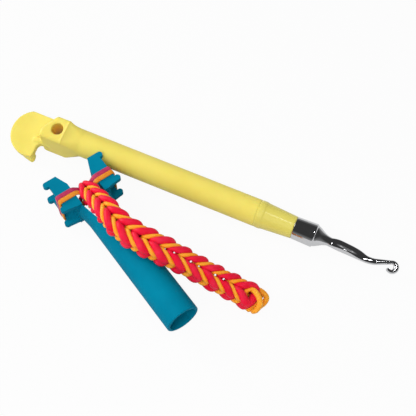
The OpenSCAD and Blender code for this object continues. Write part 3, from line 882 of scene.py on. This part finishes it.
# %% [markdown]
# ## Colours and a node helper
#
# Paint charts and web pages give colours in sRGB, while Blender's sockets expect linear
# light, so one function converts a hex value. One more adds a shader node, and sets or
# links each of its sockets by name or number.


# %% Colour and node helpers
def srgb(code):
    """Hex to linear light: c / 12.92 below 0.04045, and ((c + 0.055) / 1.055) ^ 2.4 above."""
    c = np.array([int(code[i : i + 2], 16) / 255 for i in (1, 3, 5)])
    linear = np.where(c <= 0.04045, c / 12.92, ((c + 0.055) / 1.055) ** 2.4)
    return (*linear.tolist(), 1.0)


def add(tree, kind, sockets=None, **settings):
    """Adds one node. Settings are its properties, and sockets maps an input to a value or to
    another node's output."""
    node = tree.nodes.new(kind)
    for key, value in settings.items():
        setattr(node, key, value)
    for key, value in (sockets or {}).items():
        if isinstance(value, bpy.types.NodeSocket):
            tree.links.new(value, node.inputs[key])
        else:
            node.inputs[key].default_value = value
    return node


def new_material(name):
    """An empty node material with its output, and the Object coordinates that its patterns read."""
    material = bpy.data.materials.new(name)
    material.use_nodes = True
    tree = material.node_tree
    tree.nodes.clear()
    out = add(tree, "ShaderNodeOutputMaterial")
    place = add(tree, "ShaderNodeTexCoord").outputs["Object"]
    return material, tree, out, place


print("mid grey in linear light:", round(srgb("#808080")[0], 3))

# %% [markdown]
# ## Moulded plastic
#
# The handle is satin ABS, the nose cone the same plastic from a polished mould, and the
# loom a softer, duller polypropylene. Moulded plastic is one colour all through, but the
# flow of the melt leaves faint paler and darker drifts a centimetre or so across, and the
# steel mould leaves a fine orange-peel on the skin. Inside a hole or a tight corner light
# bounces from wall to wall and under the skin, and comes out deeper in colour. Strong
# subsurface light would do that too, but it also smears the seams, so that light is painted
# in instead: an ambient occlusion node shifts the colour to a deeper one, as painted shade,
# where a piece closes itself in.

# %% Plastic
DRIFT_MM = 12
PAINTED_SHADE_MM = 6
GLOSS_MM = 4
# Real orange-peel is finer, and this is as coarse as it needs to be to show
PEEL_MM = 0.5
PEEL_DEEP_MM = 0.03
UNDER_SKIN_MM = 0.8


def moulded_plastic(name, main, drift, painted_shade, rough, sheen, under):
    """Two colours in drifts, painted shade in a deeper colour that ambient occlusion mixes in where the
    piece closes itself in, gloss that varies by patches, and an orange-peel bump. Sheen is the strength
    of the highlight and under the share of light below the skin."""
    material, tree, out, place = new_material(name)
    flow = add(tree, "ShaderNodeTexNoise", {"Vector": place, "Scale": 1 / (DRIFT_MM * MM), "Detail": 3.0})
    tint = add(tree, "ShaderNodeValToRGB", {"Fac": flow.outputs["Fac"]})
    tint.color_ramp.elements[0].position = 0.3
    tint.color_ramp.elements[0].color = srgb(drift)
    tint.color_ramp.elements[1].position = 0.7
    tint.color_ramp.elements[1].color = srgb(main)
    # Painted shade: where ambient occlusion finds the piece closed in, the colour shifts to the deeper one
    opening = add(tree, "ShaderNodeAmbientOcclusion", {"Distance": PAINTED_SHADE_MM * MM}, only_local=True)
    painted_shade_mask = add(tree, "ShaderNodeMapRange", {
        "Value": opening.outputs["AO"],
        "From Min": 0.5,
        "From Max": 0.1,
    })
    shade = add(tree, "ShaderNodeMixRGB", {
        "Fac": painted_shade_mask.outputs["Result"],
        "Color1": tint.outputs["Color"],
        "Color2": srgb(painted_shade),
    })
    patch = add(tree, "ShaderNodeTexNoise", {"Vector": place, "Scale": 1 / (GLOSS_MM * MM), "Detail": 4.0})
    gloss = add(tree, "ShaderNodeMapRange", {
        "Value": patch.outputs["Fac"],
        "To Min": rough - 0.05,
        "To Max": rough + 0.08,
    })
    peel = add(tree, "ShaderNodeTexNoise", {"Vector": place, "Scale": 1 / (PEEL_MM * MM), "Detail": 2.0})
    bump = add(tree, "ShaderNodeBump", {
        "Height": peel.outputs["Fac"],
        "Strength": 0.12,
        "Distance": PEEL_DEEP_MM * MM,
    })
    skin = add(tree, "ShaderNodeBsdfPrincipled", {
        "Base Color": shade.outputs["Color"],
        "Roughness": gloss.outputs["Result"],
        "Normal": bump.outputs["Normal"],
        "IOR": 1.5,
        "Specular IOR Level": sheen,
        "Subsurface Weight": under,
        "Subsurface Radius": (1.0, 0.5, 0.15),
        "Subsurface Scale": UNDER_SKIN_MM * MM,
    })
    tree.links.new(skin.outputs["BSDF"], out.inputs["Surface"])
    return material


print(f"plastic: drifts of {DRIFT_MM} mm, peel of {PEEL_MM} mm")

# %% Plastics of the three mouldings
# Satin, so its highlights are broad and weak, with a warm painted shade in the hanging hole
handle.data.materials.append(moulded_plastic(
    "yellow_moulded_abs", "#EFDF6E", "#E8D662", "#FFCF48", rough=0.42, sheen=0.25, under=0.2
))
# Polished, so one narrow bright streak runs down the cone. Its colours are a little darker and
# greener than the handle's: partly a real greener tint, partly painted shade
nose.data.materials.append(moulded_plastic(
    "yellow_polished_abs", "#E4D868", "#DED060", "#F0C850", rough=0.24, sheen=0.5, under=0.0
))
# Dull and even, with hardly a highlight, and a darker painted shade where it closes in
loom.data.materials.append(moulded_plastic(
    "teal_moulded_polypropylene", "#007F9C", "#007592", "#006784", rough=0.5, sheen=0.03, under=0.0
))
print("plastics:", [piece.data.materials[0].name for piece in (handle, nose, loom)])

# %% [markdown]
# ## Silicone bands
#
# Loom bands are moulded silicone with a milky, waxy look: light enters the strand and
# glows a little before it comes out. Subsurface light does that, with a roughness in the
# middle so the highlights are broad. Paler drifts a few millimetres across stand for the
# way that rubber pales where it is stretched, and the two bands on the prongs have duller
# colours of their own, because they are stretched thin over the teal plastic.

# %% Silicone
PALE_MM = 3
# Real dust on rubber is finer, and this is as coarse as it needs to be to show
DUST_MM = 0.3
DUST_DEEP_MM = 0.03
GLOW_MM = 0.6


def silicone(name, main, pale):
    """Pale drifts in a translucent body, with a fine dusty bump."""
    material, tree, out, place = new_material(name)
    drift = add(tree, "ShaderNodeTexNoise", {"Vector": place, "Scale": 1 / (PALE_MM * MM), "Detail": 3.0})
    tint = add(tree, "ShaderNodeValToRGB", {"Fac": drift.outputs["Fac"]})
    tint.color_ramp.elements[0].position = 0.35
    tint.color_ramp.elements[0].color = srgb(main)
    tint.color_ramp.elements[1].position = 0.75
    tint.color_ramp.elements[1].color = srgb(pale)
    dust = add(tree, "ShaderNodeTexNoise", {"Vector": place, "Scale": 1 / (DUST_MM * MM), "Detail": 2.0})
    bump = add(tree, "ShaderNodeBump", {
        "Height": dust.outputs["Fac"],
        "Strength": 0.06,
        "Distance": DUST_DEEP_MM * MM,
    })
    gloss = add(tree, "ShaderNodeMapRange", {"Value": drift.outputs["Fac"], "To Min": 0.36, "To Max": 0.5})
    skin = add(tree, "ShaderNodeBsdfPrincipled", {
        "Base Color": tint.outputs["Color"],
        "Roughness": gloss.outputs["Result"],
        "Normal": bump.outputs["Normal"],
        "IOR": 1.41,
        "Specular IOR Level": 0.3,
        "Subsurface Weight": 0.3,
        "Subsurface Radius": (1.0, 0.35, 0.2),
        "Subsurface Scale": GLOW_MM * MM,
    })
    tree.links.new(skin.outputs["BSDF"], out.inputs["Surface"])
    return material


woven_rubber = {
    "red": silicone("red_silicone", "#E60C34", "#EC2848"),
    "orange": silicone("orange_silicone", "#FBA426", "#FDB03C"),
}
stretched_rubber = {
    "peg_band_red": silicone("stretched_red_silicone", "#B03058", "#BC3C60"),
    "peg_band_orange": silicone("stretched_orange_silicone", "#D88420", "#E09430"),
}
for k, colour in enumerate(colours):
    bands[f"band_{k + 1:02d}"].data.materials.append(woven_rubber[colour])
for name, rubber in stretched_rubber.items():
    bands[name].data.materials.append(rubber)
print("silicone on", len(bands), "bands")

# %% [markdown]
# ## Chrome
#
# The hook is a zinc casting with bright chrome plate. Chrome has almost no colour of its
# own: it shows the room. The casting under it is never perfectly flat, so a slow ripple
# bends the reflections, and fine polishing marks soften them. A plain mirror would look
# like glass, and a rough one like bare steel.

# %% Chrome plate
RIPPLE_MM = 2.5
RIPPLE_DEEP_MM = 0.06
# Real polishing marks are finer, and these are as coarse as they need to be to show
MARKS_MM = 0.6
chrome, tree, out, place = new_material("bright_chrome_plate")
ripple = add(tree, "ShaderNodeTexNoise", {"Vector": place, "Scale": 1 / (RIPPLE_MM * MM), "Detail": 2.0})
bump = add(tree, "ShaderNodeBump", {
    "Height": ripple.outputs["Fac"],
    "Strength": 0.03,
    "Distance": RIPPLE_DEEP_MM * MM,
})
marks = add(tree, "ShaderNodeTexNoise", {"Vector": place, "Scale": 1 / (MARKS_MM * MM), "Detail": 4.0})
gloss = add(tree, "ShaderNodeMapRange", {"Value": marks.outputs["Fac"], "To Min": 0.03, "To Max": 0.08})
plate = add(tree, "ShaderNodeBsdfPrincipled", {
    "Base Color": srgb("#D3D4D6"),
    "Metallic": 1.0,
    "Roughness": gloss.outputs["Result"],
    "Normal": bump.outputs["Normal"],
})
tree.links.new(plate.outputs["BSDF"], out.inputs["Surface"])
hook.data.materials.append(chrome)
print("hook finish:", chrome.name)

# %% [markdown]
# ## Floor
#
# The set lies on plain white paper. More light would bleach the pieces as well, so the
# paper is white by itself: it glows for the camera, and less for shiny metal, which then
# shows a light grey floor. The rest of it stays a real diffuse surface, so the pieces
# keep their contact shadows.

# %% Floor
FLOOR_HALF = 300
FLOOR_DROP = 0.02
CAMERA_SHARE = 0.94
METAL_SHARE = 0.45
corners = np.array([[-1, -1, 0], [1, -1, 0], [1, 1, 0], [-1, 1, 0]]) * FLOOR_HALF
floor_points = (corners + [0, 0, TABLE_Z - FLOOR_DROP]) * MM
floor_mesh = bpy.data.meshes.new("floor")
floor_mesh.from_pydata(floor_points.tolist(), [], [(0, 1, 2, 3)])
floor = new_object("floor", floor_mesh)
paper, tree, out, place = new_material("white_paper")
matt = add(tree, "ShaderNodeBsdfDiffuse", {"Color": srgb("#CCCCCC")})
glow = add(tree, "ShaderNodeEmission", {"Color": srgb("#FFFFFF"), "Strength": 1.0})
ray = add(tree, "ShaderNodeLightPath")
mirrored = add(tree, "ShaderNodeMath", {
    0: ray.outputs["Is Glossy Ray"],
    1: METAL_SHARE,
}, operation="MULTIPLY")
share = add(tree, "ShaderNodeMath", {
    0: ray.outputs["Is Camera Ray"],
    1: CAMERA_SHARE,
    2: mirrored.outputs[0],
}, operation="MULTIPLY_ADD")
mix = add(tree, "ShaderNodeMixShader", {
    0: share.outputs[0],
    1: matt.outputs["BSDF"],
    2: glow.outputs["Emission"],
})
tree.links.new(mix.outputs["Shader"], out.inputs["Surface"])
floor_mesh.materials.append(paper)
print(f"floor {2 * FLOOR_HALF} mm wide at {floor_points[0, 2] / MM:.2f} mm")

# %% [markdown]
# ## Lamps and world
#
# A product picture has broad, soft light. The key is a large lamp low behind the set, and
# a second one in front and above fills the near sides. That one is hidden from mirrors,
# or the ferrule's dark top would turn white, and a small third lamp gives the metal its
# glints instead. The world fills the rest evenly. The camera sees it white, but metal sees
# it as a room that darkens upwards, because chrome needs something dark to reflect.


# %% Lamps
def facing(place_mm, aim_mm, up):
    """A transform whose Z points from aim_mm back to place_mm, whose X is up x Z, and whose Y is Z x X."""
    z = unit(np.array(place_mm, dtype=float) - np.array(aim_mm, dtype=float))
    x = unit(np.cross(up, z))
    turn = np.eye(4)
    turn[:3, :3] = np.stack([x, np.cross(z, x), z], axis=1)
    turn[:3, 3] = np.array(place_mm) * MM
    return Matrix(turn.tolist())


# Nearly along Y, so that it is parallel to none of the lamps
LAMP_UP = [0.0, 1.0, 0.02]


def area_lamp(name, place_mm, aim_mm, size_mm, watts):
    """A square soft lamp at place_mm that looks at aim_mm."""
    lamp = bpy.data.lights.new(name, "AREA")
    lamp.size = size_mm * MM
    lamp.energy = watts
    obj = new_object(name, lamp)
    obj.matrix_world = facing(place_mm, aim_mm, LAMP_UP)
    return obj


SET_MIDDLE = (30, 30, 0)
FERRULE_SPOT = (65, -10, 0)
area_lamp("key", (-220, 560, 240), SET_MIDDLE, size_mm=364, watts=2.1)
top = area_lamp("top", (-190, -100, 390), SET_MIDDLE, size_mm=350, watts=1.2)
top.visible_glossy = False
area_lamp("strip", (74, -29, 410), FERRULE_SPOT, size_mm=36, watts=0.12)
print("lamps:", [lamp.name for lamp in bpy.data.lights])

# %% World
FILL = 0.46
world = bpy.data.worlds.new("studio")
world.use_nodes = True
bpy.context.scene.world = world
room = world.node_tree
ray = add(room, "ShaderNodeLightPath")
way = add(room, "ShaderNodeSeparateXYZ", {0: add(room, "ShaderNodeTexCoord").outputs["Generated"]})
dusk = add(room, "ShaderNodeMapRange", {
    "Value": way.outputs["Z"],
    "From Max": 0.5,
    "To Min": 0.3,
    "To Max": 0.05,
})
level = add(room, "ShaderNodeMapRange", {
    "Value": ray.outputs["Is Glossy Ray"],
    "To Min": FILL,
    "To Max": dusk.outputs["Result"],
})
shown = add(room, "ShaderNodeMath", {
    0: level.outputs["Result"],
    1: ray.outputs["Is Camera Ray"],
}, operation="MAXIMUM")
room.links.new(shown.outputs[0], room.nodes["Background"].inputs["Strength"])
room.nodes["Background"].inputs["Color"].default_value = srgb("#FFFFFF")
print("fill light:", FILL)

# %% [markdown]
# ## Camera
#
# The picture is taken from above and in front, from about 30 cm away, so that the near
# end of the set looks a little larger than the far end. The lens follows from how many
# pixels one radian takes up in the picture, which is how a camera match gives it.

# %% Camera
LOOK_AT = np.array([33.2, 31.9, -6.3])
FOCAL_PX = 820.0
IMAGE_PX = 416.0
camera_data = bpy.data.cameras.new("camera")
camera_data.sensor_width = 36.0
camera_data.lens = FOCAL_PX / IMAGE_PX * camera_data.sensor_width
camera_data.clip_start = 10 * MM
camera = new_object("camera", camera_data)
camera.matrix_world = facing(VIEWPOINT, LOOK_AT, UP)
bpy.context.scene.camera = camera
bpy.context.scene.view_settings.view_transform = "Standard"
print(f"camera {np.linalg.norm(VIEWPOINT - LOOK_AT):.0f} mm away, lens {camera_data.lens:.0f} mm")
